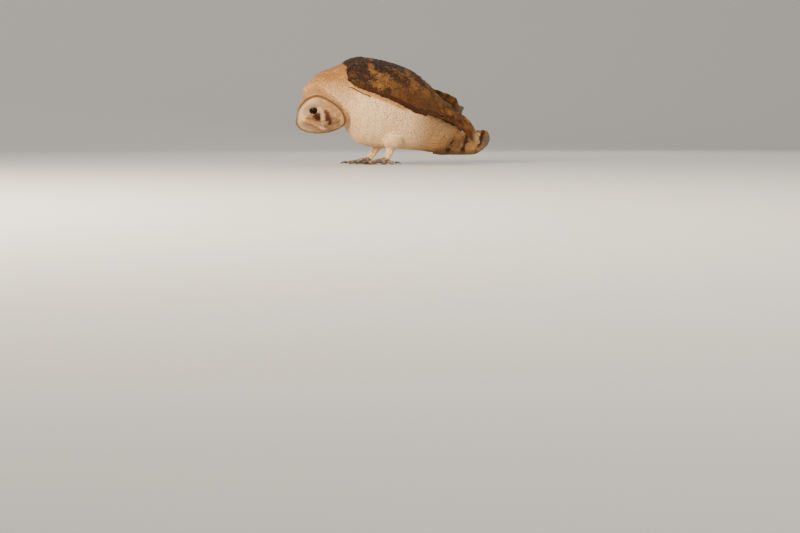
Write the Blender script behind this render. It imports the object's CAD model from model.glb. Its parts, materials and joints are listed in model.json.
# %% [markdown]
# # A barn owl, life size
# This lesson dresses a plain solid owl in feathers. The solid owl gives the
# size and the outline. A thin skin goes just inside it, and thousands of small
# closed vanes are laid over that skin, each along the lie of the coat. The bird
# looks along -X, its left side is towards -Y, and everything is in metres.

import json
import math

import bmesh
import bpy
import numpy as np
from mathutils import Matrix, Vector
from mathutils.bvhtree import BVHTree
from mathutils.kdtree import KDTree

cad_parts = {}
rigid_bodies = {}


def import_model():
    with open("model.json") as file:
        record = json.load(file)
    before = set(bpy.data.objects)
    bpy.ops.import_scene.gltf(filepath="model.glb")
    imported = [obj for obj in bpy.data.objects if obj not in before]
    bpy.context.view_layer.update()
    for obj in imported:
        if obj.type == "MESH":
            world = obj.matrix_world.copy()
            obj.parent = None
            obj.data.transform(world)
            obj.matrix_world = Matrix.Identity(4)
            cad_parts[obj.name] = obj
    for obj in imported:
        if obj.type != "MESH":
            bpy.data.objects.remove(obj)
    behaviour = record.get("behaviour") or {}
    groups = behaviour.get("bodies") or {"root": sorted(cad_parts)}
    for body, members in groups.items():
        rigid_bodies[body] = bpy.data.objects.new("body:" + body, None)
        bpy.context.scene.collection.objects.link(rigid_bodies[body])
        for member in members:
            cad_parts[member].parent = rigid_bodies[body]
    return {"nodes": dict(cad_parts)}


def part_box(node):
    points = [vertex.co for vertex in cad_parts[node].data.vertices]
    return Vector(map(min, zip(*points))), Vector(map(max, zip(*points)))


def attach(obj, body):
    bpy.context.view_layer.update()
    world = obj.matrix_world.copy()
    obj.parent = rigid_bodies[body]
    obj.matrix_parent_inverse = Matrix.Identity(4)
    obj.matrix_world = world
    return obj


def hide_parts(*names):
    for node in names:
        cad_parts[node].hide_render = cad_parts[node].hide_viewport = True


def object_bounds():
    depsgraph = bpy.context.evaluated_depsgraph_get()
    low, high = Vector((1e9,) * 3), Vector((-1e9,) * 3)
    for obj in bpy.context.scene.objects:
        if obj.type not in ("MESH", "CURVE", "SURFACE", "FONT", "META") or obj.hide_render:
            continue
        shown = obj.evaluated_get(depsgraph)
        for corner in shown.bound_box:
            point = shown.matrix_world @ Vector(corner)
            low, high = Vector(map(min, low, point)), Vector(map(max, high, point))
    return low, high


for startup_object in list(bpy.data.objects):
    bpy.data.objects.remove(startup_object)
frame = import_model()
cad_low, cad_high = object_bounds()
print("solid owl:", [round(side, 3) for side in cad_high - cad_low], "m")

# %% [markdown]
# ## Measures
# Most places are worked out from the solid owl's own parts, such as the middle
# of each eye. The few sizes that it can't give are named here once.

# %% Sizes and the face's own directions
MM = 0.001
FACE_OUT = Vector((-0.187, -0.612, -0.770))
EYE_ABOVE_FACE_CENTRE, EYE_BEHIND_FACE_CENTRE = 6 * MM, 11.5 * MM
DISC_HALF_WIDTH, DISC_TOP, DISC_NOTCH, DISC_CHIN = 49 * MM, 34 * MM, 2 * MM, 50 * MM
NOTCH_REACH, CHIN_NARROWING = 0.26, 0.18


def middle(node):
    low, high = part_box(node)
    return (low + high) / 2


left_eye, right_eye = middle("eye_left"), middle("eye_right")
face_side = (left_eye - right_eye).normalized()
face_out = (FACE_OUT - face_side * FACE_OUT.dot(face_side)).normalized()
face_up = face_out.cross(face_side)
face_centre = (left_eye + right_eye) / 2 - face_up * EYE_ABOVE_FACE_CENTRE + face_out * EYE_BEHIND_FACE_CENTRE
print("face centre:", [round(value, 4) for value in face_centre])

# %% [markdown]
# ## Numbers in bulk
# A coat has tens of thousands of feathers, so their places and colours are
# handled as arrays, all rows at once. These small helpers mix colours, make a
# soft step between two values, and give cloudy noise that is the same each run.

# %% Array helpers


def soft_step(value, low, high):
    """0 below low, 1 above high, and an S curve between."""
    share = np.clip((value - low) / (high - low), 0, 1)
    return share * share * (3 - 2 * share)


def mixed(first, second, amount):
    """Rows of colour first moved towards second by amount."""
    return first + (np.asarray(second) - first) * np.asarray(amount)[..., None]


def hump(value, middle_at, width):
    """1 at middle_at, falling to nearly 0 at two widths away."""
    return np.exp(-(((value - middle_at) / width) ** 2))


def unit_rows(rows):
    return rows / np.maximum(np.linalg.norm(rows, axis=-1, keepdims=True), 1e-12)


def cloud(points, size, seed):
    """Smooth noise from 0 to 1, with blobs about size millimetres across. Whole numbers stirred by
    large primes give each corner of a grid its value, and the values between are blended."""
    cell = points / (size * MM) + seed * 17.31
    base = np.floor(cell).astype(np.int64)
    part = cell - base
    part = part * part * (3 - 2 * part)
    total = np.zeros(len(points))
    for corner in np.ndindex(2, 2, 2):
        key = (base + corner) @ np.array((73856093, 19349663, 83492791))
        key = (key + seed * 7919) & 0x7FFFFFFF
        key = ((key ^ (key >> 13)) * 1274126177) & 0x7FFFFFFF
        value = ((key ^ (key >> 15)) & 0xFFFF) / 0xFFFF
        total += value * np.prod(np.where(corner, part, 1 - part), axis=1)
    return total


def patchy(points, size, seed, low, high):
    """The same clouds, cut to patches with soft edges."""
    return soft_step(cloud(points, size, seed), low, high)


def face_places(points):
    """How far points are to the face's left, up it, and out of it, in metres."""
    from_centre = points - np.array(face_centre)
    return np.array([from_centre @ np.array(way) for way in (face_side, face_up, face_out)])


def disc_share(points):
    """How far points are on the way from the face's centre to the disc's rim, where it is 1."""
    side, up, _ = face_places(points)
    across = np.abs(side) / DISC_HALF_WIDTH
    top = DISC_TOP - DISC_NOTCH * hump(across, 0, NOTCH_REACH)
    tall = np.where(up > 0, up / top, -up / DISC_CHIN)
    return np.hypot(np.where(up < 0, across / (1 + CHIN_NARROWING * np.minimum(tall, 1)), across), tall)


# %% [markdown]
# ## The camera, light and floor
# The bird is seen from its left and a little ahead of it, from a long way off,
# so a long lens stands far back. A big soft lamp low on the left lights the
# breast and face, and leaves the back and the underside darker. The pale sheet
# is one curved strip, so no corner shows behind the bird.

# %% Camera
VIEW_TURN = math.radians(17)
FRAME_WIDTH, SENSOR_WIDTH = 1.36, 36
CAMERA_DISTANCE, CAMERA_HEIGHT = 2.6, 0.05
FRAME_MIDDLE_ASIDE, FRAME_MIDDLE_HEIGHT = 8.5 * MM, -174 * MM
FOOT_TO_MIDDLE = 36.5 * MM


def added(name, data, place=(0, 0, 0)):
    """A new object in the scene."""
    item = bpy.data.objects.new(name, data)
    item.location = place
    bpy.context.scene.collection.objects.link(item)
    return item


def turned_to(item, way):
    item.rotation_euler = way.to_track_quat("-Z", "Y").to_euler()


view_ahead = Vector((math.sin(VIEW_TURN), math.cos(VIEW_TURN), 0))
view_right = Vector((math.cos(VIEW_TURN), -math.sin(VIEW_TURN), 0))
aim = Vector((middle("foot_left").x + FOOT_TO_MIDDLE, 0, 0)) + view_right * FRAME_MIDDLE_ASIDE
camera_data = bpy.data.cameras.new("camera")
camera_data.sensor_width = SENSOR_WIDTH
camera_data.lens = SENSOR_WIDTH * CAMERA_DISTANCE / FRAME_WIDTH
camera = added("camera", camera_data, aim - view_ahead * CAMERA_DISTANCE + Vector((0, 0, CAMERA_HEIGHT)))
aim.z = FRAME_MIDDLE_HEIGHT
turned_to(camera, aim - camera.location)
bpy.context.scene.camera = camera

# %% Lamps
LAMPS_AIM = Vector((0, 0, 0.09))
for name, place, width, watts, colour in (
    ("key_lamp", (-1.5, -1.5, 0.62), 1.0, 88, (1.0, 0.86, 0.66)),
    ("fill_lamp", (0.4, -2.3, 0.5), 1.8, 14, (1.0, 0.93, 0.82)),
    ("back_lamp", (0.8, 1.6, 1.5), 1.2, 12, (1.0, 0.96, 0.9)),
):
    lamp = bpy.data.lights.new(name, "AREA")
    lamp.shape, lamp.size, lamp.energy, lamp.color = "DISK", width, watts, colour
    turned_to(added(name, lamp, place), LAMPS_AIM - Vector(place))
world = bpy.context.scene.world or bpy.data.worlds.new("room")
bpy.context.scene.world = world
world.use_nodes = True
room_light = world.node_tree.nodes["Background"]
room_light.inputs["Color"].default_value = (1.0, 0.97, 0.93, 1)
room_light.inputs["Strength"].default_value = 0.55

# %% Pale sheet
SHEET_HALF_WIDTH, SHEET_FRONT, SHEET_BACK, SHEET_RISE, BEND_STEPS = 6.0, 5.0, 2.2, 3.0, 24
sheet_mesh = bmesh.new()
front_edge = [sheet_mesh.verts.new((side * SHEET_HALF_WIDTH, -SHEET_FRONT, 0)) for side in (-1, 1)]
sheet_mesh.edges.new(front_edge)
flat_run = bmesh.ops.extrude_edge_only(sheet_mesh, edges=sheet_mesh.edges[:])
back_edge = [item for item in flat_run["geom"] if isinstance(item, bmesh.types.BMVert)]
bmesh.ops.translate(sheet_mesh, verts=back_edge, vec=(0, SHEET_FRONT + SHEET_BACK, 0))
bend_edge = [e for e in sheet_mesh.edges if all(v in back_edge for v in e.verts)]
bmesh.ops.spin(
    sheet_mesh, geom=bend_edge + back_edge, cent=(0, SHEET_BACK, SHEET_RISE), axis=(1, 0, 0),
    angle=math.pi / 2, steps=BEND_STEPS,
)
bmesh.ops.recalc_face_normals(sheet_mesh, faces=sheet_mesh.faces)
sheet_data = bpy.data.meshes.new("pale_sheet")
sheet_mesh.to_mesh(sheet_data)
sheet_mesh.free()
sheet_data.shade_smooth()
sheet_paint = bpy.data.materials.new("pale_sheet_paint")
sheet_paint.use_nodes = True
sheet_shader = sheet_paint.node_tree.nodes["Principled BSDF"]
sheet_shader.inputs["Base Color"].default_value = (0.70, 0.69, 0.66, 1)
sheet_shader.inputs["Roughness"].default_value = 0.9
sheet_data.materials.append(sheet_paint)
pale_sheet = added("pale_sheet", sheet_data)

# %% [markdown]
# ## The skin
# One closed skin stands for the head, neck, trunk, wings, tail and legs, so no
# seam shows where those solids meet. Each solid is puffed out by a hair so that
# neighbours touch, all are joined, and a voxel remesh makes one even surface of
# them. Then the surface sinks by the depth of the coat: little on the face, the
# tail and the wing edges, more on the body.

# %% Join the flesh and remesh it
FLESH_PARTS = ("head", "neck", "trunk", "tail", "wing", "thigh", "tarsus")
FLESH = [name for name in sorted(frame["nodes"]) if name.startswith(FLESH_PARTS)]
WINGS = ("wing_left", "wing_right")
PUFF, VOXEL = 0.3 * MM, 2.0 * MM
SAME_POINT = 1e-6
ROOT_BODY = "root"


def bmesh_of(*nodes):
    """The named solids' meshes in one bmesh, with their doubled corners merged."""
    shape = bmesh.new()
    for node in nodes:
        shape.from_mesh(frame["nodes"][node].data)
    bmesh.ops.remove_doubles(shape, verts=shape.verts, dist=SAME_POINT)
    return shape


def object_from(shape, name, slot, *replaced):
    """A new smooth object made from a bmesh, riding on the owl's one body."""
    mesh = bpy.data.meshes.new(name)
    shape.to_mesh(mesh)
    shape.free()
    return piece_from(mesh, name, slot, *replaced)


def piece_from(mesh, name, slot, *replaced):
    mesh.shade_smooth()
    piece = added(name, mesh)
    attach(piece, ROOT_BODY)
    if replaced:
        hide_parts(*replaced)
    return piece


def settled(piece):
    """Replaces a piece's mesh with what its modifiers make of it."""
    graph = bpy.context.evaluated_depsgraph_get()
    piece_mesh = bpy.data.meshes.new_from_object(piece.evaluated_get(graph))
    piece.modifiers.clear()
    piece.data = piece_mesh
    piece_mesh.shade_smooth()


flesh = bmesh_of(*FLESH)
flesh.normal_update()
for corner in flesh.verts:
    corner.co += corner.normal * PUFF
skin = object_from(flesh, "skin", "trunk_plumage", *FLESH)
remesh = skin.modifiers.new("even", "REMESH")
remesh.mode, remesh.voxel_size = "VOXEL", VOXEL
settled(skin)
print("skin:", len(skin.data.polygons), "faces")

# %% Which solid each stretch of skin came from, and how deep it sinks
COAT_DEPTH = {"head": 2.0, "neck": 2.2, "trunk": 2.2, "wing": 1.0, "tail": 1.3, "thigh": 1.6, "tarsus": 1.0}
FACE_COAT_DEPTH = 1.1
MOST_OF_THIN, DEEPEST_LOOK = 0.3, 12 * MM  # a thin edge keeps the rest of its thickness


def rows_of(mesh, field="co"):
    rows = np.empty(len(mesh.vertices) * 3, np.float32)
    mesh.vertices.foreach_get(field, rows)
    return rows.reshape(-1, 3).astype(float)


def tree_of(nodes):
    """A search tree over several solids, and for each of its faces the solid's name."""
    corners, faces, owners = [], [], []
    for node in nodes:
        mesh = frame["nodes"][node].data
        start = len(corners)
        corners += [corner.co for corner in mesh.vertices]
        faces += [[start + index for index in face.vertices] for face in mesh.polygons]
        owners += [node] * len(mesh.polygons)
    return BVHTree.FromPolygons(corners, faces), owners


flesh_tree, flesh_owners = tree_of(FLESH)


def owners_at(points):
    return np.array([flesh_owners[flesh_tree.find_nearest(point)[2]] for point in points])


skin_rows = rows_of(skin.data)
skin_owner = owners_at(skin_rows)
sink = np.array([COAT_DEPTH[owner.split("_")[0]] for owner in skin_owner])
facing_out = rows_of(skin.data, "normal") @ np.array(face_out)
on_disc = (skin_owner == "head") & (disc_share(skin_rows) < 1.0) & (facing_out > 0.1)
sink[on_disc] = FACE_COAT_DEPTH
sink *= MM


def evened(shape, factor, times=1):
    for _ in range(times):
        bmesh.ops.smooth_vert(
            shape, verts=shape.verts, factor=factor, use_axis_x=True, use_axis_y=True, use_axis_z=True
        )


skin_shape = bmesh.new()
skin_shape.from_mesh(skin.data)
thin_tree = BVHTree.FromBMesh(skin_shape)
for index, corner in enumerate(skin_shape.verts):
    inside = corner.co - corner.normal * PUFF
    through = thin_tree.ray_cast(inside, -corner.normal, DEEPEST_LOOK)[3]
    if through is not None:
        sink[index] = min(sink[index], through * MOST_OF_THIN)
evened(skin_shape, 0.5)
skin_shape.normal_update()
for corner, depth in zip(skin_shape.verts, sink):
    corner.co -= corner.normal * depth
evened(skin_shape, 0.3, times=3)
skin_shape.to_mesh(skin.data)
skin_shape.free()
skin.data.shade_smooth()

# %% [markdown]
# ## Finding the surface
# Every feather lies on the skin, so the skin gets a search tree. For any point
# in space it gives the nearest point of the skin and the way out of it there.
# The same tree, asked along a line, answers where a feather should start.

# %% Search tree over the skin


class Surface:
    """A mesh that points can be laid on."""

    def __init__(self, mesh):
        self.corners = rows_of(mesh)
        normals = rows_of(mesh, "normal")
        faces = [tuple(face.vertices) for face in mesh.polygons]
        self.tree = BVHTree.FromPolygons([Vector(corner) for corner in self.corners], faces)
        self.out = unit_rows(np.array([normals[list(face)].mean(axis=0) for face in faces]))

    def touch(self, points):
        """The nearest surface points, the way out there, and how far off they are."""
        found = [self.tree.find_nearest(point) for point in points.tolist()]
        places, _, faces, off = zip(*found)
        return np.array(places), self.out[list(faces)], np.array(off)


skin_surface = Surface(skin.data)
skin.data.calc_loop_triangles()
corner_index = np.empty(len(skin.data.loop_triangles) * 3, np.int32)
skin.data.loop_triangles.foreach_get("vertices", corner_index)
skin_triangles = corner_index.reshape(-1, 3)
triangle_corners = skin_surface.corners[skin_triangles]
first_corner = triangle_corners[:, 0]
triangle_cross = np.cross(triangle_corners[:, 1] - first_corner, triangle_corners[:, 2] - first_corner)
triangle_area = np.linalg.norm(triangle_cross, axis=1) / 2
triangle_middle = triangle_corners.mean(axis=1)
triangle_out = unit_rows(triangle_cross)
triangle_owner = skin_owner[skin_triangles[:, 0]]
print("skin area:", round(triangle_area.sum() * 1e4), "cm2")

# %% Scatter roots evenly
TRIES_PER_ROOT = 7


def scatter(chosen, gap, seed):
    """Points on the chosen triangles, no two nearer than gap, in millimetres. Many are tried in
    a random order, and each one kept rules out those too near to it."""
    dice = np.random.default_rng(seed)
    gap = gap * MM
    wanted = triangle_area[chosen] / gap**2 * TRIES_PER_ROOT
    counts = np.floor(wanted + dice.random(len(wanted))).astype(int)
    which = np.repeat(np.flatnonzero(chosen), counts)
    a, b = dice.random((2, len(which)))
    flip = a + b > 1
    a, b = np.where(flip, 1 - a, a)[:, None], np.where(flip, 1 - b, b)[:, None]
    p0, p1, p2 = (triangle_corners[which, k] for k in range(3))
    points = p0 + a * (p1 - p0) + b * (p2 - p0)
    tree = KDTree(len(points))
    for index, point in enumerate(points.tolist()):
        tree.insert(point, index)
    tree.balance()
    free, kept = np.ones(len(points), bool), []
    for index in dice.permutation(len(points)).tolist():
        if free[index]:
            kept.append(index)
            free[[found[1] for found in tree.find_range(points[index], gap)]] = False
    return points[kept]


# %% [markdown]
# ## One small feather
# A body feather is a thin vane with a raised shaft. It starts as a three-sided
# prism lying along its length. Its long edges are cut into stations, both ends
# are pulled to a point, and the width at each station follows a rounded leaf.
# That makes a closed solid of a few faces, cheap enough to repeat by thousands.

# %% The vane pattern
TIP_BLUNTNESS, ROOT_NARROWNESS, WIDEST_LEAF = 3.2, 0.75, 0.7
SHARE_OF_A_TURN = 2 * math.pi / 3
OFF_AXIS = 0.1


def leaf_width(along):
    """The width of a feather from root, 0, to tip, 1, as a share of its widest."""
    leaf = (1 - along**TIP_BLUNTNESS) ** 0.6 * (0.35 + 0.65 * along**ROOT_NARROWNESS)
    return leaf / WIDEST_LEAF


def vane_pattern(*stations):
    """A closed vane one unit long: its mesh, and for each corner its level, how far along it is,
    how far aside, and whether it is on the raised shaft."""
    shape = bmesh.new()
    bmesh.ops.create_cone(shape, cap_ends=True, segments=3, radius1=1, radius2=1, depth=1)
    long_edges = [e for e in shape.edges if abs(e.verts[0].co.z - e.verts[1].co.z) > 0.5]
    bmesh.ops.subdivide_edges(shape, edges=long_edges, cuts=len(stations), use_grid_fill=True)
    for end in (-0.5, 0.5):
        at_end = [corner for corner in shape.verts if abs(corner.co.z - end) < 1e-4]
        bmesh.ops.pointmerge(shape, verts=at_end, merge_co=(0, 0, end))
    levels = np.array([0.0, *stations, 1.0])
    top_angle = max(math.atan2(c.co.y, c.co.x) for c in shape.verts if c.co.xy.length > OFF_AXIS)
    place = []
    for corner in shape.verts:
        level = round((corner.co.z + 0.5) * (len(stations) + 1))
        aside, high = 0.0, 0.0
        if corner.co.xy.length > OFF_AXIS:
            turn = math.atan2(corner.co.y, corner.co.x) - top_angle
            which = round(turn / SHARE_OF_A_TURN) % 3  # 0 is the shaft, 1 the left edge, 2 the right edge
            half = leaf_width(levels[level]) / 2
            aside, high = (0, -half, half)[which], which == 0
        place.append((level, levels[level], aside, high))
    place = np.array(place, float)
    for corner, (_, along, aside, high) in zip(shape.verts, place):
        corner.co = (aside, along, high * 0.1)
    shape.normal_update()
    bmesh.ops.recalc_face_normals(shape, faces=shape.faces)
    for edge in shape.edges:
        first, second = (corner.co for corner in edge.verts)
        on_rim = all(abs(co.x) > 1e-6 or co.z == 0 for co in (first, second))
        edge.smooth = not (on_rim and abs(first.x + second.x) > 1e-6 and abs(first.y - second.y) > 1e-6)
    mesh = bpy.data.meshes.new("vane_pattern")
    shape.to_mesh(mesh)
    shape.free()
    level, along, aside, high = place.T
    level = level.astype(int)
    return {"mesh": mesh, "levels": levels, "level": level, "along": along, "aside": aside, "high": high}


PLUME = vane_pattern(0.35, 0.8)
SMALL_VANE = vane_pattern(0.22, 0.55, 0.85)
BODY_VANE = vane_pattern(0.15, 0.4, 0.66, 0.9)
print("plume:", len(PLUME["mesh"].polygons), "faces")

# %% [markdown]
# ## Many feathers as one mesh
# Each feather starts at its root and walks over the skin in short steps along
# the lie of the coat, so it bends with the body. Its tip stands a little higher
# than its root, and so it covers the roots of the next row. A feather whose tip
# ends up far off the skin is left out. The mesh carries three things for its
# finish: the marking's colour, a map of each vane from root to tip, and a map
# that gives every vane its own small patch on an unwrap of the skin.

# %% Walk over the skin
PATCH, PATCH_MARGIN = 0.003, 0.004
FALL_OFF, MOST_STRAY = 1.6 * MM, 2.4 * MM


def walk(roots, lie, lengths, levels, surface):
    """Where each feather's middle line runs: the places, the ways out, and the ways along, level by level."""
    place, out, _ = surface.touch(roots)
    way = unit_rows(lie - out * (lie * out).sum(1, keepdims=True))
    line = [(place, out, way)]
    for step in np.diff(levels):
        ahead = place + way * (lengths * step)[:, None]
        laid, out_there, off = surface.touch(ahead)
        on = (off < FALL_OFF)[:, None]
        place = np.where(on, laid, ahead)
        out = unit_rows(np.where(on, out_there, out))
        way = unit_rows(way - out * (way * out).sum(1, keepdims=True))
        line.append((place, out, way))
    return [np.array(rows).transpose(1, 0, 2) for rows in zip(*line)]


def head_map(points):
    """A place on a map for points round the head: the whole ball opens into one disc."""
    way = unit_rows(points - np.array(middle("head")))
    pole, side = np.array(face_out), np.array(face_side)
    reach = np.sqrt(np.clip((1 - way @ pole) / 2, 0, 1))
    turn = np.arctan2(way @ np.cross(pole, side), way @ side)
    return np.stack([0.5 + 0.5 * reach * np.cos(turn), 0.5 + 0.5 * reach * np.sin(turn)], 1)


def long_map(axis_height):
    """Maps points round a long part by how far along it they are, and their turn round its axis."""

    def mapped(points):
        along = (points[:, 0] - cad_low.x) / (cad_high.x - cad_low.x)
        turn = np.arctan2(points[:, 1], points[:, 2] - axis_height * MM) / (2 * math.pi) + 0.5
        return np.stack([along, turn], 1)

    return mapped


def lay_vanes(name, pattern, roots, lie, size, rise, paint, look, seed, thickness=0.12, cup=0.05,
              tip=None, spots=None, surface=None):
    """One mesh of closed vanes over the skin, with sizes in millimetres. size is the length and width,
    rise the height of root and tip above the skin, and look the map, finish and slot."""
    dice = np.random.default_rng(seed)
    surface = surface or skin_surface
    unwrap, finish, slot = look
    length = size[0] * MM * dice.uniform(0.85, 1.15, len(roots))
    width = size[1] * MM * dice.uniform(0.88, 1.12, len(roots))
    places, outs, ways = walk(roots, lie, length, pattern["levels"], surface)
    kept = surface.touch(places[:, -1])[2] <= MOST_STRAY
    width, roots, places, outs, ways = (rows[kept] for rows in (width, roots, places, outs, ways))
    count = len(roots)
    level, along, aside = pattern["level"], pattern["along"], pattern["aside"][None, :]
    sides = np.cross(ways, outs)
    low, high = rise[0] * MM, rise[1] * MM * dice.uniform(0.85, 1.1, count)[:, None]
    height = low + (high - low) * along**1.3 + pattern["high"] * thickness * MM
    height = height - np.abs(aside) * 2 * (width * cup)[:, None]
    corners = (
        places[:, level]
        + sides[:, level] * (aside * width[:, None])[..., None]
        + outs[:, level] * height[..., None]
    )
    colours = np.repeat(paint(roots)[:, None, :], len(level), axis=1)
    if tip:
        tint, strength, start = tip
        amount = soft_step(along, start, 1) * strength
        colours = mixed(colours, tint, np.broadcast_to(amount, colours.shape[:2]))
    colours = colours * dice.uniform(0.95, 1.04, count)[:, None, None]
    spot = (dice.random(count) < spots(roots)) if spots else np.zeros(count)
    joined_copies(name, pattern["mesh"], corners, colours, spot, pattern["aside"] + 0.5, along,
                  unwrap(roots), finish, slot)


def joined_copies(name, mesh, corners, colours, spot, across, along, patch_at, finish, slot,
                  patch=(PATCH, PATCH)):
    """A mesh of many copies of one pattern mesh, given each copy's corners and colours."""
    copies, corner_count = corners.shape[:2]

    def read(items, field, each=1):
        values = np.empty(len(items) * each, np.int32)
        items.foreach_get(field, values)
        return values

    def tiled(numbers, step):
        return (numbers[None, :] + np.arange(copies)[:, None] * step).ravel()

    loops = read(mesh.loops, "vertex_index")
    coat = bpy.data.meshes.new(name)
    coat.vertices.add(copies * corner_count)
    coat.vertices.foreach_set("co", corners.astype(np.float32).ravel())
    coat.edges.add(copies * len(mesh.edges))
    coat.edges.foreach_set("vertices", tiled(read(mesh.edges, "vertices", 2), corner_count))
    coat.loops.add(copies * len(loops))
    coat.loops.foreach_set("vertex_index", tiled(loops, corner_count))
    coat.polygons.add(copies * len(mesh.polygons))
    coat.polygons.foreach_set("loop_start", tiled(read(mesh.polygons, "loop_start"), len(loops)))
    coat.update(calc_edges=True)
    coat.validate()
    coat.edges.foreach_set("use_edge_sharp", np.tile([edge.use_edge_sharp for edge in mesh.edges], copies))
    spots = np.broadcast_to(np.reshape(spot, (-1, 1, 1)), (copies, corner_count, 1))
    tint = coat.color_attributes.new("coat", "FLOAT_COLOR", "POINT")
    rows = np.clip(np.concatenate([colours, spots], 2), 0, 1)
    tint.data.foreach_set("color", rows.astype(np.float32).ravel())
    vane_map = np.stack([across, along], 1)[loops]
    inside = PATCH_MARGIN + np.clip(patch_at, 0, 1) * (1 - 2 * PATCH_MARGIN - max(patch))
    for title, rows in (
        ("OFBake", inside[:, None, :] + vane_map[None] * np.array(patch)),
        ("Vane", np.broadcast_to(vane_map, (copies, len(loops), 2))),
    ):
        coat.uv_layers.new(name=title).data.foreach_set("uv", rows.astype(np.float32).ravel())
    coat.materials.append(finish)
    print(f"{name}: {copies} vanes, {len(coat.polygons)} faces")
    piece_from(coat, name, slot)


# %% [markdown]
# ## How a feather is finished
# A feather's colour is its marking, read from the mesh. Over it go the fine
# slanted barbs on both sides of the shaft, the shaft itself, and on some
# feathers one small drop near the tip. The barbs also tilt the surface a little,
# which gives the coat its silky, slightly streaked look. All of it follows the
# vane's own map, so it turns with each feather.

# %% Node helpers


def add_node(tree, kind, settings=None, **inputs):
    """A shader node with settings, and inputs that are values or other nodes' outputs."""
    node = tree.nodes.new("ShaderNode" + kind)
    for key, value in (settings or {}).items():
        setattr(node, key, value)
    for key, value in inputs.items():
        socket = node.inputs[int(key[1:]) if key[0] == "_" else key.replace("_", " ")]
        if isinstance(value, bpy.types.NodeSocket):
            tree.links.new(value, socket)
        else:
            socket.default_value = value
    return node


def sums(tree, operation, first, second=None, third=None):
    inputs = {f"_{index}": value for index, value in enumerate((first, second, third)) if value is not None}
    return add_node(tree, "Math", {"operation": operation}, **inputs).outputs[0]


def colour_mix(tree, amount, first, second, how="MIX"):
    node = add_node(tree, "Mix", {"data_type": "RGBA", "blend_type": how}, _0=amount, _6=first, _7=second)
    return node.outputs[2]


def stepped(tree, value, low, high):
    return add_node(
        tree, "MapRange", {"interpolation_type": "SMOOTHSTEP"}, Value=value, From_Min=low, From_Max=high
    ).outputs["Result"]


def noise(tree, **inputs):
    place = add_node(tree, "TexCoord").outputs["Object"]
    return add_node(tree, "TexNoise", Vector=place, **inputs).outputs["Fac"]


def bumped(tree, shader, height, strength, distance):
    dent = add_node(tree, "Bump", Strength=strength, Distance=distance, Height=height)
    tree.links.new(dent.outputs[0], shader.inputs["Normal"])


def new_finish(name, **settings):
    finish = bpy.data.materials.new(name)
    finish.use_nodes = True
    shader = finish.node_tree.nodes["Principled BSDF"]
    for key, value in settings.items():
        shader.inputs[key.replace("_", " ")].default_value = value
    return finish, finish.node_tree, shader


# %% Feather finishes
BARB_SLANT, DROP_ALONG, DROP_SQUEEZE = 9, 0.8, 1.6
DARK_DROP, PALE_DROP = (0.13, 0.070, 0.035), (0.34, 0.26, 0.18)


def feather_finish(name, core, ring, barb_depth=0.16, barbs=16, drop=0.11, shaft_dark=0.25, ring_share=1.8):
    finish, tree, shader = new_finish(
        name, Roughness=0.85, Specular_IOR_Level=0.15, Sheen_Weight=0.05, Sheen_Roughness=0.4
    )
    coat = add_node(tree, "Attribute", {"attribute_name": "coat"})
    vane = add_node(tree, "UVMap", {"uv_map": "Vane"})
    parts = add_node(tree, "SeparateXYZ", Vector=vane.outputs[0])
    across = sums(tree, "ABSOLUTE", sums(tree, "SUBTRACT", parts.outputs[0], 0.5))
    along = parts.outputs[1]
    slant = sums(tree, "SUBTRACT", sums(tree, "MULTIPLY", along, barbs),
                 sums(tree, "MULTIPLY", across, BARB_SLANT))
    ripple = sums(tree, "SINE", sums(tree, "MULTIPLY", slant, 2 * math.pi))
    shade = sums(tree, "MULTIPLY_ADD", ripple, barb_depth / 2, 1 - barb_depth / 2)
    grey = add_node(tree, "CombineXYZ", X=shade, Y=shade, Z=shade)
    colour = colour_mix(tree, 1.0, coat.outputs["Color"], grey.outputs[0], "MULTIPLY")
    shaft = sums(tree, "SUBTRACT", 1.0, stepped(tree, across, 0.02, 0.07))
    colour = colour_mix(tree, sums(tree, "MULTIPLY", shaft, shaft_dark), colour, (*ring, 1))
    ahead = sums(tree, "MULTIPLY", sums(tree, "SUBTRACT", along, DROP_ALONG), DROP_SQUEEZE)
    squares = [sums(tree, "MULTIPLY", way, way) for way in (across, ahead)]
    far = sums(tree, "SQRT", sums(tree, "ADD", *squares))
    for reach, tint in ((drop * ring_share, ring), (drop, core)):
        inside = sums(tree, "SUBTRACT", 1.0, stepped(tree, far, reach * 0.75, reach))
        amount = sums(tree, "MULTIPLY", inside, coat.outputs["Alpha"])
        colour = colour_mix(tree, amount, colour, (*tint, 1))
    tree.links.new(colour, shader.inputs["Base Color"])
    bumped(tree, shader, ripple, 0.25, 0.0002)
    return finish


BUFF_RING, BLACK_RING, RUSTY_RING = (0.34, 0.18, 0.08), (0.035, 0.022, 0.016), (0.16, 0.08, 0.03)
pale_finish = feather_finish("pale_feathers", DARK_DROP, BUFF_RING, barb_depth=0.06, drop=0.12,
                             shaft_dark=0.04, ring_share=1.2)
back_finish = feather_finish("back_feathers", PALE_DROP, BLACK_RING, drop=0.07, shaft_dark=0.18)
long_finish = feather_finish("long_feathers", PALE_DROP, RUSTY_RING, barbs=90)

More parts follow.
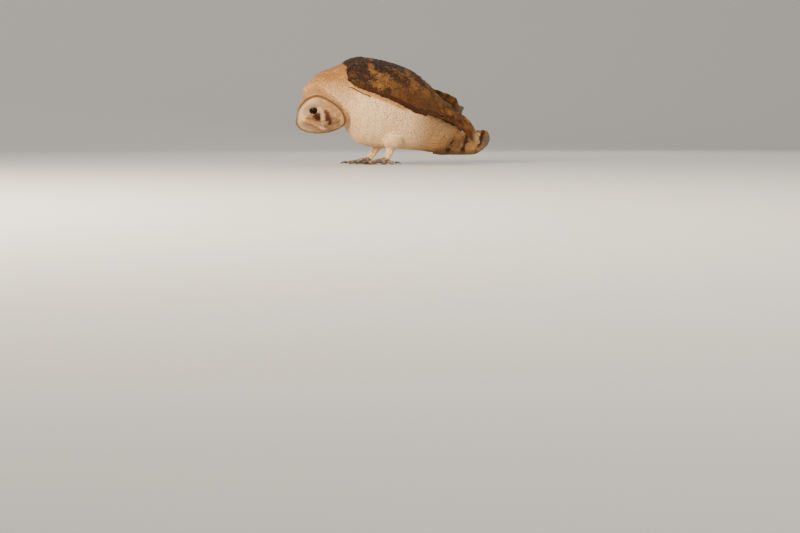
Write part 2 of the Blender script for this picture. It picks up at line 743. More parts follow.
skin_finish, skin_tree, skin_shader = new_finish("skin_finish", Roughness=0.9, Specular_IOR_Level=0.2)
skin_coat = add_node(skin_tree, "Attribute", {"attribute_name": "coat"})
skin_grain = noise(skin_tree, Scale=900.0, Detail=3.0)
skin_dapple = sums(skin_tree, "MULTIPLY", stepped(skin_tree, skin_grain, 0.3, 0.7), 0.15)
SKIN_DAPPLE = (0.45, 0.35, 0.25, 1)
skin_colour = colour_mix(skin_tree, skin_dapple, skin_coat.outputs["Color"], SKIN_DAPPLE, "MULTIPLY")
skin_tree.links.new(skin_colour, skin_shader.inputs["Base Color"])
bumped(skin_tree, skin_shader, skin_grain, 0.4, 0.0004)
skin.data.materials.clear()
skin.data.materials.append(skin_finish)

# %% [markdown]
# ## The markings
# A barn owl is white to cream below, with a scatter of fine dark spots. Above it
# is golden buff under a broken veil of ash grey. The heart-shaped face is pale,
# with a rusty mark at the inner corner of each eye, a rim of rusty tips, and a
# raised pale band beside the dark gape. Each marking is a base colour with tints
# laid over it, and a function of place, so that the skin and every coat piece
# over it agree. The markings count in millimetres.

# %% Plumage colours
WHITE = np.array((0.87, 0.595, 0.335))
CREAM = np.array((0.84, 0.55, 0.28))
PINK_CREAM = np.array((0.45, 0.24, 0.108))
PEACH = np.array((0.56, 0.29, 0.115))
BUFF = np.array((0.43, 0.170, 0.039))
GOLD = np.array((0.20, 0.086, 0.024))
BRIGHT_GOLD = np.array((0.31, 0.145, 0.042))
TAWNY = np.array((0.092, 0.037, 0.011))
ASH = np.array((0.020, 0.0125, 0.0095))
OLIVE = np.array((0.13, 0.080, 0.032))
RUST = np.array((0.20, 0.062, 0.014))
DARK_RUST = np.array((0.050, 0.015, 0.006))
MAUVE = np.array((0.30, 0.19, 0.15))
PALE_GREY = np.array((0.20, 0.165, 0.13))


def layered(points, base, *layers):
    """The base colour at each point, with tints laid over it in turn, each by its own amount."""
    colour = np.broadcast_to(base, (len(points), 3)).astype(float)
    for tint, amount in layers:
        colour = mixed(colour, tint, amount)
    return colour


# %% The face
EYE_ASIDE, EYE_UP = 15.5, 6
BAND = ((20, -2), (3, -7), 4)
GAPE = ((17, -11.5), (9, -15), 5.0)
GAPE_END = ((9, -15), (2.5, -18.5), 5.6)
CHIN_STRIPE = ((6, -22), (2, -32), 6)
GAPE_COLOUR = np.array((0.085, 0.026, 0.015))


def near_line(side, up, line):
    """1 on the line between two places on the face, fading to each side over its width."""
    (s0, u0), (s1, u1), width = line
    ds, du = s1 - s0, u1 - u0
    share = np.clip(((side - s0) * ds + (up - u0) * du) / (ds * ds + du * du), 0, 1)
    off = np.hypot(side - s0 - share * ds, up - u0 - share * du)
    return 1 - soft_step(off, width * 0.5, width)


def face_marking(points):
    side, up, _ = face_places(points) / MM
    side = np.abs(side)
    return layered(
        points, PINK_CREAM,
        (WHITE, soft_step(up, -8, 12) * 0.8),
        (CREAM, patchy(points, 6, 4, 0.35, 0.75) * 0.35),
        (MAUVE, hump(np.hypot(side - EYE_ASIDE, up - EYE_UP), 9, 3.6) * 0.62),
        (OLIVE, near_line(side, up, CHIN_STRIPE) * 0.5),
        (WHITE, near_line(side, up, BAND) * 0.7),
        (GAPE_COLOUR, near_line(side, up, GAPE) * 0.9),
        (GAPE_COLOUR, near_line(side, up, GAPE_END) * 0.9),
        (DARK_RUST, np.clip(hump(np.hypot((side - 8.5) * 0.9, up - 1), 0, 4.8) * 1.5, 0, 0.96)),
        (RUST, soft_step(disc_share(points), 0.955, 1.01) * 0.3),
    )


# %% The head behind the face, and the neck


def head_marking(points):
    _, up, out = face_places(points) / MM
    crown = soft_step(up, 8, 34) * soft_step(-out, 2, 16)
    return layered(
        points, CREAM * 0.74,
        (BUFF, 0.42 + soft_step(points[:, 2] / MM, 88, 150) * 0.46),
        (BUFF, crown * 0.4),
        (ASH, patchy(points, 5, 11, 0.52, 0.7) * crown * 0.5),
        (RUST, hump(disc_share(points), 1.02, 0.05) * soft_step(-out, -4, 4) * 0.35),
    )


def neck_marking(points):
    x, _, z = points.T / MM
    return layered(
        points, WHITE,
        (CREAM, patchy(points, 14, 21, 0.4, 0.7) * 0.5),
        (BUFF, soft_step(-x, 70, 120) * 0.26),
        (BUFF, soft_step(z, 88, 150) * (0.76 + 0.22 * patchy(points, 10, 22, 0.35, 0.65))),
        (CREAM, soft_step(-z, -82, -60) * 0.4),
    )


# %% The wings' lower edges, read from the skin
EDGE_STEPS = 40


def wing_edge(node):
    """The height of a wing's lower edge along the bird, as a pair of arrays."""
    rows = skin_surface.corners[skin_owner == node]
    stations = np.linspace(rows[:, 0].min() + 2 * MM, rows[:, 0].max() - 2 * MM, EDGE_STEPS)
    reach = (stations[1] - stations[0]) * 0.9
    lowest = [rows[np.abs(rows[:, 0] - x) < reach, 2].min() for x in stations]
    return stations, np.convolve(np.pad(lowest, 1, "edge"), (0.25, 0.5, 0.25), "valid")


wing_edges = {node: wing_edge(node) for node in WINGS}


def above_each(points):
    """How far points are above the lower edge of the left wing, and of the right one."""
    return [(points[:, 2] - np.interp(points[:, 0], *wing_edges[node])) / MM for node in WINGS]


def above_edge(points):
    """How far points are above the lower edge of the wing on their own side."""
    return np.where(points[:, 1] < 0, *above_each(points))


def above_flank(points):
    """The same, but near the bird's middle plane the wing with the lower edge counts."""
    x, y, _ = points.T / MM
    own, lower = above_edge(points), np.maximum(*above_each(points))
    return own + (lower - own) * (1 - soft_step(np.abs(y), 24, 40)) * soft_step(x, 20, 40)


# %% The back and wings, and the underside
ASH_CENTRES = (
    (-77, 166, 9), (-84, 155, 8), (-71, 147, 7), (-45, 170, 8), (-28, 168, 9), (-10, 165, 9),
    (-15, 146, 8), (-3, 140, 9), (22, 152, 9), (44, 136, 8),
)
GOLD_CENTRES = (
    (-61, 156, 7), (-51, 150, 7), (-39, 144, 7), (-28, 137, 8), (-50, 133, 8), (3, 153, 7),
    (14, 134, 9), (34, 124, 9),
)


def near_centres(points, centres):
    """1 at any of the centres, given as x, height and reach, fading outwards."""
    x, _, z = points.T / MM
    return np.max([hump(np.hypot(x - at_x, z - at_z), 0, reach) for at_x, at_z, reach in centres], axis=0)


def back_marking(points):
    """Golden buff under a broken veil of ash grey, with fine flecks."""
    golden = near_centres(points, GOLD_CENTRES)
    veil = cloud(points, 15, 31) * 0.6 + cloud(points, 7, 32) * 0.4
    veil = soft_step(veil + 0.42 * near_centres(points, ASH_CENTRES) - 0.40 * golden, 0.44, 0.60)
    return layered(
        points, GOLD,
        (TAWNY, patchy(points, 9, 33, 0.4, 0.7) * 0.5),
        (BRIGHT_GOLD, golden * 0.8),
        (ASH, veil * 0.88),
        (DARK_RUST * 0.6, patchy(points, 2.6, 34, 0.58, 0.74) * 0.6),
        (BUFF, patchy(points, 2.2, 35, 0.68, 0.8) * 0.16 * veil),
    )


def tip_colour(points):
    """The pale end of each wing: warm on the left one, grey on the right one."""
    return np.where(points[:, 1:2] < 0, CREAM * 0.5, PALE_GREY * 0.7)


def wing_marking(points):
    x, above = points[:, 0] / MM, above_edge(points)
    speckled = layered(points, TAWNY * 1.25, (RUST * 0.7, patchy(points, 2.8, 41, 0.5, 0.66) * 0.6))
    along = soft_step(x, -95, -70) * (1 - soft_step(x, 70, 125))
    return layered(
        points, back_marking(points),
        (speckled, (1 - soft_step(above, 18, 46)) * soft_step(x, -50, 0) * 0.85),
        (tip_colour(points), soft_step(x, 118, 142) * 0.9),
        (DARK_RUST, (1 - soft_step(above, 2.5, 5.5)) * along * 0.85),
    )


def trunk_marking(points):
    """Pale below, a peach strip and a dark line under the wing's front, and the back's colours above."""
    x, _, z = points.T / MM
    above = above_flank(points)
    return layered(
        points, WHITE,
        (CREAM, patchy(points, 16, 51, 0.4, 0.7) * 0.35),
        (PEACH * 0.52, soft_step(x, -5, 50) * 0.85),
        (TAWNY, soft_step(x, 96, 112) * soft_step(z, 46, 54) * 0.6),
        (PEACH, soft_step(above, -8, -5.5) * (1 - soft_step(x, -8, 10)) * 0.8),
        (DARK_RUST, hump(above, -9.5, 1.4) * (1 - soft_step(x, -66, -50)) * 0.75),
        (back_marking(points), soft_step(above, 2, 8)),
    )


def tail_marking(points):
    """Warm buff, and a greyish white tip."""
    x, y, _ = points.T / MM
    return layered(
        points, PEACH * 0.75,
        (GOLD, patchy(points, 7, 61, 0.4, 0.7) * 0.45),
        (OLIVE, soft_step(y, 10, 22) * 0.8),
        (PALE_GREY, soft_step(x - cad_high.x / MM, -16, -4) * 0.8),
    )


def leg_marking(points):
    return layered(points, WHITE, (CREAM, soft_step(-points[:, 2] / MM, -34, -12) * 0.5))


# %% Paint the skin
MARKINGS = {
    "head": head_marking, "neck": neck_marking, "trunk": trunk_marking, "wing": wing_marking,
    "tail": tail_marking, "thigh": leg_marking, "tarsus": leg_marking,
}
skin_colours = np.ones((len(skin_rows), 4))
for part, marking in MARKINGS.items():
    here = np.array([owner.startswith(part) for owner in skin_owner])
    skin_colours[here, :3] = marking(skin_surface.corners[here])
skin_colours[on_disc, :3] = face_marking(skin_surface.corners[on_disc])
skin_tint = skin.data.color_attributes.new("coat", "FLOAT_COLOR", "POINT")
skin_tint.data.foreach_set("color", skin_colours.astype(np.float32).ravel())

# %% [markdown]
# ## The lie of the coat
# Body feathers point from the head back towards the tail, and on the head they
# stream away from the face. On the disc they fan out from each eye. On a folded
# wing they follow its long axis, which slopes down to the wing's tip.

# %% Lie functions


def way_of(points, x, y, z):
    """One direction for each point, from three numbers or columns of numbers."""
    return unit_rows(np.stack([np.broadcast_to(part, len(points)).astype(float) for part in (x, y, z)], 1))


def across_the_face(side, up):
    return unit_rows(side[:, None] * np.array(face_side) + up[:, None] * np.array(face_up))


def streaming(points):
    """Away from the face near it, and along the bird further back."""
    away = unit_rows(points - np.array(face_centre + face_out * 20 * MM))
    tailward = soft_step(points[:, 0] / MM, -105, -40)[:, None]
    return unit_rows(away * (1 - tailward) + np.array((1.0, 0, -0.18)) * tailward)


def under_the_wing(points):
    """Along the bird, but side by side with the wing's lower edge close under it."""
    above, ahead = above_edge(points), above_edge(points + np.array((4 * MM, 0, 0)))
    along = way_of(points, 1, 0, (above - ahead) / 4)
    near = (soft_step(above, -26, -8) * (1 - soft_step(above, 4, 12)))[:, None]
    return unit_rows(streaming(points) * (1 - near) + along * near)


def down_the_leg(points):
    return np.broadcast_to((0.25, 0, -1.0), points.shape)


def along_wing(points):
    return way_of(points, 1, 0, np.where(points[:, 1] < 0, -0.36, -0.22))


def from_the_eyes(points):
    side, up, _ = face_places(points) / MM
    return across_the_face(side - np.where(side > 0, 1, -1) * (EYE_ASIDE - 5), up - (EYE_UP - 3))


def turned(lie, degrees, seed):
    """The lie with each feather turned a little at random."""
    nudge = np.random.default_rng(seed).normal(0, math.radians(degrees), (len(lie), 3))
    return unit_rows(lie + nudge)


# %% [markdown]
# ## The coat, part by part
# Roots are scattered over each part of the skin with an even gap, and a vane is
# laid from each. The vanes grow from a few millimetres on the face to over ten
# on the breast and back. Each call gives the gap, the lie and how far feathers
# stray from it in degrees, the length and width, and the height of root and tip.
# Lengths are in millimetres. The last numbers start the random draws.

# %% Pick the skin's stretches


def owned_by(*parts):
    return np.array([owner.startswith(parts) for owner in triangle_owner])


FACE_REACH, BARE_ROUND_EYE = 0.93, 8.6 * MM
on_face = (disc_share(triangle_middle) < FACE_REACH) & (triangle_out @ np.array(face_out) > 0.05)
from_eyes = [np.linalg.norm(triangle_middle - np.array(eye), axis=1) for eye in (left_eye, right_eye)]
face_skin = owned_by("head") & on_face & (np.min(from_eyes, 0) > BARE_ROUND_EYE)
head_skin = owned_by("head") & ~on_face
head_look = (head_map, pale_finish, "head_plumage")
trunk_map = long_map(100)


def coat(name, pattern, chosen, gap, lie, wander, size, rise, paint, look, seeds, **more):
    """Scatters roots over the chosen skin and lays a vane from each, near the lie of the coat there."""
    roots = scatter(chosen, gap, seeds[0])
    way = turned(lie(roots), wander, seeds[1])
    lay_vanes(name, pattern, roots, way, size, rise, paint, look, seeds[2], **more)


# %% Small feathers of the face
face_roots = scatter(face_skin, 0.8, 101)
room_to_rim = (1.0 - disc_share(face_roots)) * DISC_TOP / MM
lay_vanes("face_feathers", PLUME, face_roots, turned(from_the_eyes(face_roots), 6, 102),
          (np.clip(room_to_rim + 0.3, 1.8, 6.0), 1.25), (0.1, 0.55), face_marking, head_look, 103)

# %% Crown, cheeks, nape and neck
coat("head_feathers", PLUME, head_skin, 0.92, streaming, 7, (8.0, 2.3), (0.25, 0.5), head_marking,
     head_look, (111, 112, 113), spots=lambda points: 0.04 + 0.14 * soft_step(points[:, 2] / MM, 90, 110))
coat("neck_feathers", PLUME, owned_by("neck"), 0.98, streaming, 7, (10.5, 2.8), (0.25, 0.55), neck_marking,
     (long_map(105), pale_finish, "neck_plumage"), (121, 122, 123),
     spots=lambda points: 0.01 + 0.075 * soft_step(points[:, 2] / MM, 85, 120))

# %% Breast, flanks and back
flank_above = above_flank(triangle_middle)
between_wings = (np.abs(triangle_middle[:, 1]) < 36 * MM) & (triangle_middle[:, 0] > 30 * MM)
under_skin = owned_by("trunk") & (flank_above < -1.5)
upper_skin = owned_by("trunk") & (flank_above > np.where(between_wings, -1.5, 3))
for flank, sign in (("left", -1), ("right", 1)):
    coat("breast_feathers_" + flank, PLUME, under_skin & (triangle_middle[:, 1] * sign >= 0), 1.02,
         under_the_wing, 7, (12, 3.1), (0.25, 0.55), trunk_marking, (trunk_map, pale_finish, "trunk_plumage"),
         (131 + sign, 132 + sign, 133), spots=lambda points: 0.010)
coat("back_feathers", BODY_VANE, upper_skin, 1.6, streaming, 7, (12, 4.4), (0.4, 2.2), back_marking,
     (trunk_map, back_finish, "trunk_plumage"), (137, 134, 135), thickness=0.18, spots=lambda points: 0.10)

# %% Wing coverts
COVERTS_END_LOW, COVERTS_END_HIGH, WING_DEPTH = 66, 22, 75
share_up = np.clip(above_edge(triangle_middle) / WING_DEPTH, 0, 1)
coverts_end = COVERTS_END_LOW + (COVERTS_END_HIGH - COVERTS_END_LOW) * share_up
for wing, seed in zip(WINGS, (141, 151)):
    coat(wing + "_coverts", BODY_VANE, owned_by(wing) & (triangle_middle[:, 0] / MM < coverts_end), 1.6,
         along_wing, 6, (11, 4.4), (0.6, 2.0), wing_marking, (trunk_map, back_finish, "wing_feathers"),
         (seed, seed + 1, seed + 2), thickness=0.18, cup=0.04, spots=lambda points: 0.05)

# %% Legs
coat("leg_feathers", PLUME, owned_by("thigh", "tarsus"), 1.15, down_the_leg, 8, (8, 2.1), (0.2, 1.5),
     leg_marking, (long_map(30), pale_finish, "leg_plumage"), (161, 162, 163), thickness=0.25, cup=0.12)

# %% [markdown]
# ## The wing's edge and the feathers round the tail's root
# Along the lower edge of each folded wing runs a dark row of marginal coverts,
# and just below it, near the shoulder, a pale peach one. The vanes lie side by
# side with the edge, so it reads as one clean line. At the rump, long soft
# coverts bridge the step from the body to the tail, above and below.

# %% Rows along the wing's edge
DARK_ROWS = (5.6, 3.8, 2.0, 0.2)
PEACH_ROWS = (-1.8, -3.4, -5.0, -6.6)
LINE_ROW = (-8.6,)
ROW_STEP = 1.5 * MM


def edge_row(node, offset, first_x, last_x):
    """Roots on the skin at an offset above a wing's lower edge, and the way along it."""
    sign = -1 if node == "wing_left" else 1
    xs = np.arange(first_x, last_x, ROW_STEP)
    zs = np.interp(xs, *wing_edges[node]) + offset * MM
    places = []
    for x, z in zip(xs, zs):
        hit = skin_surface.tree.ray_cast(Vector((x, sign * 110 * MM, z)), Vector((0, -sign, 0)), 105 * MM)[0]
        places.append(hit or skin_surface.tree.find_nearest(Vector((x, sign * 60 * MM, z)))[0])
    return np.array(places), way_of(xs, 1, 0, np.gradient(zs, xs))


def edge_coat(name, offsets, first_x, last_x, paint, size, rise, seed):
    rows = [edge_row(node, offset, first_x, last_x) for node in WINGS for offset in offsets]
    roots, lies = (np.concatenate(column) for column in zip(*rows))
    if max(offsets) < 0:
        on_body = np.array([not owner.startswith("wing") for owner in owners_at(roots)])
        roots, lies = roots[on_body], lies[on_body]
    lay_vanes(name, SMALL_VANE, roots, turned(lies, 2.5, seed), size, rise, paint,
              (trunk_map, pale_finish, "wing_feathers"), seed + 1, thickness=0.15, cup=0.04)


def dark_edge_marking(points):
    x = points[:, 0] / MM
    return layered(points, TAWNY, (DARK_RUST, 0.55 + 0.4 * hump(x, -4, 30)),
                   (TAWNY, soft_step(x, 80, 125) * 0.6))


wing_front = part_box("wing_left")[0].x
edge_coat("wing_edge_feathers", DARK_ROWS, wing_front + 7 * MM, 104 * MM, dark_edge_marking,
          (8.5, 3.0), (0.7, 2.3), 501)
edge_coat("peach_edge_feathers", PEACH_ROWS, wing_front + 9 * MM, -4 * MM,
          lambda points: layered(points, PEACH), (8, 2.6), (0.5, 2.0), 511)
edge_coat("dark_line_feathers", LINE_ROW, wing_front + 3 * MM, -62 * MM,
          lambda points: layered(points, DARK_RUST * 1.4), (7, 1.3), (0.9, 2.1), 521)

# %% Long coverts at the root of the tail
behind = (triangle_middle[:, 0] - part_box("trunk")[1].x) / MM
underneath = (triangle_middle[:, 2] < 46 * MM) & (behind > -72)
tail_middle = middle("tail")


def onto_the_tail(points):
    """Towards a place on the tail that keeps some of each root's own offset."""
    offset = (points - np.array((0, 0, tail_middle.z))) * np.array((0, 0.7, 0.35))
    return unit_rows(np.array(tail_middle) + np.array((30 * MM, 0, 0)) + offset - points)


def rump_marking(points):
    z = points[:, 2] / MM
    return layered(points, PEACH * 0.62, (OLIVE, (1 - soft_step(z, 20, 32)) * 0.85),
                   (GOLD * 1.3, soft_step(z, 62, 78) * 0.8))


coat("rump_feathers", BODY_VANE, owned_by("trunk") & ((behind > -30) | underneath), 1.8, onto_the_tail, 5,
     (17, 4.4), (0.4, 2.0), rump_marking, (long_map(50), pale_finish, "tail_feathers"), (531, 532, 533),
     thickness=0.16, cup=0.1)

# %% [markdown]
# ## The ruff
# A barn owl's heart-shaped face is edged by short, stiff feathers packed in
# rows, pale at the root and rusty at the tip. Each row runs round the same
# curve as the disc's rim, and its vanes point outwards from the face.

# %% Rows along the rim
RUFF_PER_ROW, RIM_FALL = 330, 24 * MM
RUFF_ROWS = ((0.885, 3.6), (0.915, 3.4))  # share of the way to the rim, and length in millimetres


def under_face(side, up):
    """The skin's points straight under places on the face, and None where there is no skin."""
    starts = (face_centre + face_side * s + face_up * u + face_out * 60 * MM for s, u in zip(side, up))
    return [skin_surface.tree.ray_cast(start, -face_out, 120 * MM)[0] for start in starts]


def rim_points(share, turns):
    """Skin points on the curve that lies at a share of the way from the face's centre to its rim."""
    side, upper = DISC_HALF_WIDTH * np.sin(turns), np.cos(turns) > 0
    top = DISC_TOP * np.cos(turns) - DISC_NOTCH * hump(side / DISC_HALF_WIDTH, 0, NOTCH_REACH)
    side = np.where(upper, side, side * (1 + CHIN_NARROWING * np.cos(turns))) * share
    hits = filter(None, under_face(side, np.where(upper, top, DISC_CHIN * np.cos(turns)) * share))
    return np.array([hit for hit in hits if (hit - face_centre).dot(face_out) > -RIM_FALL])


def from_the_centre(points):
    side, up, _ = face_places(points)
    return across_the_face(side, up)


def ruff_marking(points):
    return layered(points, PINK_CREAM, (BUFF, soft_step(disc_share(points), 0.9, 1.03) * 0.6))


turns = np.arange(RUFF_PER_ROW) * 2 * math.pi / RUFF_PER_ROW
ruff_rows = [
    rim_points(share, turns + math.pi / RUFF_PER_ROW * row) for row, (share, _) in enumerate(RUFF_ROWS)
]
ruff_roots = np.concatenate(ruff_rows)
ruff_length = np.repeat([length for _, length in RUFF_ROWS], [len(row) for row in ruff_rows])
lay_vanes("ruff_feathers", PLUME, ruff_roots, turned(from_the_centre(ruff_roots), 3, 201),
          (ruff_length, 1.35), (0.3, 1.7), ruff_marking, head_look, 202, thickness=0.14,
          tip=(RUST * 0.4, 0.95, 0.3))

# %% [markdown]
# ## Flight and tail feathers
# The long feathers are blades that overlap like roof tiles. A blade starts as a
# grid, one strip of faces wide on each side of the shaft and many stations long,
# and is extruded down once so that it is a closed sheet. Each of its stations is
# laid on the wing or tail, with one edge lifted over the blade beside it.

# %% The blade pattern
BLADE_STATIONS, BLADE_ACROSS, BLADE_THICKNESS = 44, 4, 0.35
BLADE_LEVELS = np.linspace(0, 1, BLADE_STATIONS + 1)


def blade_pattern():
    shape = bmesh.new()
    bmesh.ops.create_grid(shape, x_segments=BLADE_ACROSS, y_segments=BLADE_STATIONS, size=0.5)
    sheet = bmesh.ops.extrude_face_region(shape, geom=shape.faces[:])
    under = [item for item in sheet["geom"] if isinstance(item, bmesh.types.BMVert)]
    bmesh.ops.translate(shape, verts=under, vec=(0, 0, -1))
    shape.normal_update()
    bmesh.ops.recalc_face_normals(shape, faces=shape.faces)
    for edge in shape.edges:
        edge.smooth = edge.calc_face_angle(0) < 1.0
    rows = np.array([corner.co for corner in shape.verts])
    mesh = bpy.data.meshes.new("blade_pattern")
    shape.to_mesh(mesh)
    shape.free()
    level = np.round((rows[:, 1] + 0.5) * BLADE_STATIONS).astype(int)
    return {"mesh": mesh, "across": rows[:, 0] * 2, "level": level, "under": rows[:, 2] < -0.5}


BLADE = blade_pattern()
print("blade:", len(BLADE["mesh"].polygons), "faces")


def blade_width(along, tip_from=0.86):
    """Narrow at the root, even for most of its length, and rounded off at the tip."""
    rounding = np.sqrt(np.clip(1 - (np.maximum(along - tip_from, 0) / (1 - tip_from)) ** 2.2, 0.004, 1))
    return (0.30 + 0.70 * soft_step(along, 0.0, 0.25)) * rounding


def lay_blades(name, tracks, outs, widths, lift, tilt, paint, slot, seed):
    """Blades along tracks, which hold a row of places for each blade. In millimetres, lift is the
    height of each and tilt that of its left edge."""
    dice = np.random.default_rng(seed)
    level, count = BLADE["level"], len(tracks)
    along = BLADE_LEVELS[level]
    edge = BLADE["across"] * blade_width(along)
    sides = np.cross(unit_rows(np.gradient(tracks, axis=1)), outs)[:, level]
    outs = outs[:, level]
    flat = tracks[:, level] + sides * (widths[:, None] / 2 * MM * edge)[..., None]
    laid, out_there, off = skin_surface.touch(flat.reshape(-1, 3))
    facing = (out_there.reshape(flat.shape) * outs).sum(2) > 0.3
    on = (off < FALL_OFF).reshape(facing.shape) & facing
    base = np.where(on[..., None], laid.reshape(flat.shape), flat)
    height = (lift[:, None] + tilt * edge - BLADE["under"] * BLADE_THICKNESS) * MM
    lengths = np.linalg.norm(np.diff(tracks, axis=1), axis=2).sum(1) / MM
    from_tip = (lengths[:, None] * (1 - along)).ravel()
    colours = paint(base.reshape(-1, 3), from_tip, np.repeat(np.arange(count), len(level)))
    colours = colours.reshape(flat.shape) * dice.uniform(0.93, 1.05, count)[:, None, None]
    patch_at = np.stack([np.arange(count) / count, np.zeros(count)], 1)
    joined_copies(name, BLADE["mesh"], base + outs * height[..., None], colours, np.zeros(count),
                  BLADE["across"] / 2 + 0.5, along, patch_at, long_finish, slot, patch=(0.9 / count, 0.98))


def smoothed(rows, times=6):
    """Rows of places evened out along each row, with the ends left where they are."""
    for _ in range(times):
        rows[:, 1:-1] = rows[:, :-2] * 0.25 + rows[:, 1:-1] * 0.5 + rows[:, 2:] * 0.25
    return rows


# %% Places on a wing: x along the bird, and the share of the way from the lower to the upper edge
INNER_START, OUTER_START = 4 * MM, 120 * MM
WING_TREES = {node: tree_of([node])[0] for node in WINGS}


def wing_span(node, xs):
    """The heights of a wing's lower and upper edges at each x."""
    rows = rows_of(frame["nodes"][node].data)
    stations = np.linspace(rows[:, 0].min() + 3 * MM, rows[:, 0].max() - 1.5 * MM, EDGE_STEPS)
    reach = (stations[1] - stations[0]) * 1.1
    near = [rows[np.abs(rows[:, 0] - x) < reach, 2] for x in stations]
    return [np.interp(xs, stations, [pick(heights) for heights in near]) for pick in (np.min, np.max)]


def wing_places(node, xs, shares, inner):
    """Points of a wing's outer or inner face, and the way out there."""
    sign = -1 if node == "wing_left" else 1
    start_y, way = (sign * INNER_START, sign) if inner else (sign * OUTER_START, -sign)
    bottom, top = wing_span(node, xs)
    found = []
    for x, z in zip(xs, bottom + shares * (top - bottom)):
        hit, out = WING_TREES[node].ray_cast(Vector((x, start_y, z)), Vector((0, way, 0)), 119 * MM)[:2]
        if hit is None:
            hit, out = WING_TREES[node].find_nearest(Vector((x, sign * 45 * MM, z)))[0], (0, -way, 0)
        found.append((hit, out))
    return zip(*found)


def wing_tracks(node, ends, inner=False):
    """A track for each pair of ends. Each end is an x in millimetres and a share."""
    tracks, outs = [], []
    for (x0, b0), (x1, b1) in ends:
        xs, shares = (x0 + (x1 - x0) * BLADE_LEVELS) * MM, b0 + (b1 - b0) * BLADE_LEVELS**1.2
        for rows, found in zip((tracks, outs), wing_places(node, xs, shares, inner)):
            rows.append(found)
    return smoothed(np.array(tracks)), unit_rows(smoothed(np.array(outs), 10))


# %% Primaries, secondaries, and the blades of the wings' inner faces
PRIMARIES, SECONDARIES, INNER_BLADES, BAR_GAP = 8, 10, 11, 19
wing_tips = {node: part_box(node)[1].x / MM for node in WINGS}


def flight_marking(points, from_tip, which):
    """Tawny with soft grey-brown bars, a dark lower edge on the left, and a pale end."""
    on_left = points[:, 1] < 0
    bar = soft_step(np.cos((from_tip + which * 1.5) / BAR_GAP * 2 * math.pi), 0.35, 0.85)
    to_end = np.where(on_left, *wing_tips.values()) - points[:, 0] / MM
    return layered(
        points, GOLD,
        (TAWNY, patchy(points, 8, 71, 0.35, 0.7) * 0.7),
        (RUST * 0.6, patchy(points, 1.8, 72, 0.5, 0.66) * 0.45),
        (ASH * 0.8, bar * 0.62),
        (DARK_RUST, (1 - soft_step(above_edge(points), 1.5, 4.5)) * on_left * 0.7),
        (tip_colour(points), (1 - soft_step(to_end, 6, 20)) * 0.85),
    )


for node, tip in wing_tips.items():
    ends = [((30, 0.10 + 0.045 * j), (tip - (0.5 + 1.4 * j + 0.08 * j * j), 0.14 + 0.115 * j))
            for j in range(PRIMARIES)]
    ends += [((8 - 4 * j, 0.34 + 0.052 * j), (tip - (38 + 9 * j), 0.90 + 0.004 * j))
             for j in range(SECONDARIES)]
    lay_blades(node + "_flight", *wing_tracks(node, ends), np.array([12.5] * PRIMARIES + [15] * SECONDARIES),
               0.45 + 0.07 * np.arange(len(ends)), 0.35 if node == "wing_left" else -0.35, flight_marking,
               "wing_feathers", 301)
for node, tip in wing_tips.items():
    ends = [((84 - 3 * j, 0.22 + 0.055 * j), (tip - (0.5 + 1.5 * j), 0.08 + 0.085 * j))
            for j in range(INNER_BLADES)]
    lay_blades(node + "_inner", *wing_tracks(node, ends, inner=True), np.full(INNER_BLADES, 12),
               0.3 + 0.05 * np.arange(INNER_BLADES), 0.25, flight_marking, "wing_feathers", 321)

# %% Tail feathers, above and below
TAIL_PAIRS, TAIL_BAR_GAP, TAIL_BAR_AT = 6, 27, 156.5
tail_front_x, tail_tip_x = (end.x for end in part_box("tail"))


def tail_edge(pick, xs):
    """The tail's left or right edge at each x, from the lowest or highest y near it."""
    rows = rows_of(frame["nodes"]["tail"].data)
    stations = np.linspace(rows[:, 0].min() + 6 * MM, rows[:, 0].max() - 9 * MM, 12)
    near = [rows[np.abs(rows[:, 0] - x) < 6 * MM] for x in stations]
    edge = np.array([(x, *found[pick(found[:, 1]), 1:]) for x, found in zip(stations, near)])
    return np.stack([np.interp(xs, stations, column) for column in edge.T], 1)


def bar_marking(points, from_tip, which):
    """The tail's colours, crossed by dark bars that fade out on the right."""
    x, y, _ = points.T / MM
    wobble = (cloud(points, 6, 73) - 0.5) * 4
    bar = soft_step(np.cos((x - 0.12 * y - TAIL_BAR_AT + wobble) / TAIL_BAR_GAP * 2 * math.pi), 0.58, 0.76)
    bar *= soft_step(from_tip, 6, 10) * (1 - 0.8 * soft_step(y, 14, 24))
    return layered(points, tail_marking(points), (ASH, patchy(points, 1.6, 74, 0.55, 0.7) * 0.22),
                   (DARK_RUST * 0.7, bar * 0.9))


for face, name in ((1, "tail_feathers_above"), (-1, "tail_feathers_below")):
    tracks, outs, lifts = [], [], []
    for place in (np.arange(2 * TAIL_PAIRS) + 0.5) / TAIL_PAIRS - 1:
        end_x = tail_tip_x + (1.0 - 9.0 * abs(place) ** 2.5) * MM
        xs = tail_front_x + (end_x - tail_front_x) * BLADE_LEVELS
        left, right = tail_edge(np.argmin, xs), tail_edge(np.argmax, xs)
        line = left + (right - left) * (place * 0.9 + 1) / 2
        line[:, 0] = xs
        out = unit_rows(np.cross(np.array((1.0, 0, 0)), unit_rows(right - left))) * face
        laid, _, off = skin_surface.touch(line + out * 3 * MM)
        on = (off < 6 * MM) & (xs < tail_tip_x - 5 * MM)
        tracks.append(np.where(on[:, None], laid, line + out * 0.6 * MM))
        outs.append(out)
        lifts.append(0.9 - 0.45 * abs(place) if face > 0 else 0.45 + 0.45 * abs(place))
    lay_blades(name, smoothed(np.array(tracks), 12), np.array(outs), np.full(2 * TAIL_PAIRS, 15),
               np.array(lifts), 0, bar_marking, "tail_feathers", 311)

